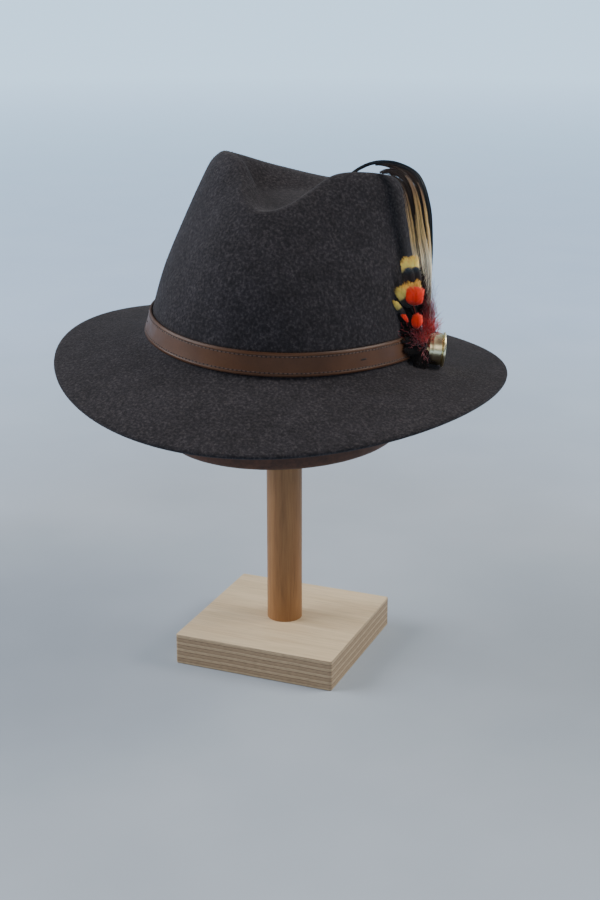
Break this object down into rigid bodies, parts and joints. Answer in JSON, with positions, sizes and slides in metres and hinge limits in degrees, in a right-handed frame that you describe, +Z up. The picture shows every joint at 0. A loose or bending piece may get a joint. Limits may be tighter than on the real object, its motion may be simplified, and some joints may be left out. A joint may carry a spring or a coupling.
{
  "type": "fedora on a wooden hat stand",
  "caption": "Wool felt fedora with a teardrop crown, leather band and feather pin, resting on a plain wooden hat stand.",
  "frame": {"origin": "centre of the underside of the stand's foot, on the post's axis", "axes": "+Z up along the post, -Y the front of the hat, +X the wearer's left"},
  "size_m": [0.2935, 0.3174, 0.3399],
  "materials": {
    "felt": "matt heathered wool felt, dark charcoal brown",
    "band_leather": "smooth brown leather with stitched edges",
    "brass": "polished, a little tarnished",
    "short_feathers": "crimson, scarlet and golden feather tips over black hackles",
    "straw_feather": "golden straw feather strands",
    "black_feather": "blue-black glossy feather",
    "plywood": "pale birch plywood, bare",
    "dowel": "orange-brown wood, satin",
    "block_wood": "brown wood, satin"
  },
  "bodies": {
    "root": {"felt_body": "felt", "hat_band": "band_leather", "brass_cap": "brass", "feather_cluster": "short_feathers", "straw_plume": "straw_feather", "black_plume": "black_feather", "stand_foot": "plywood", "stand_post": "dowel", "stand_block": "block_wood"}
  },
  "joints": []
}
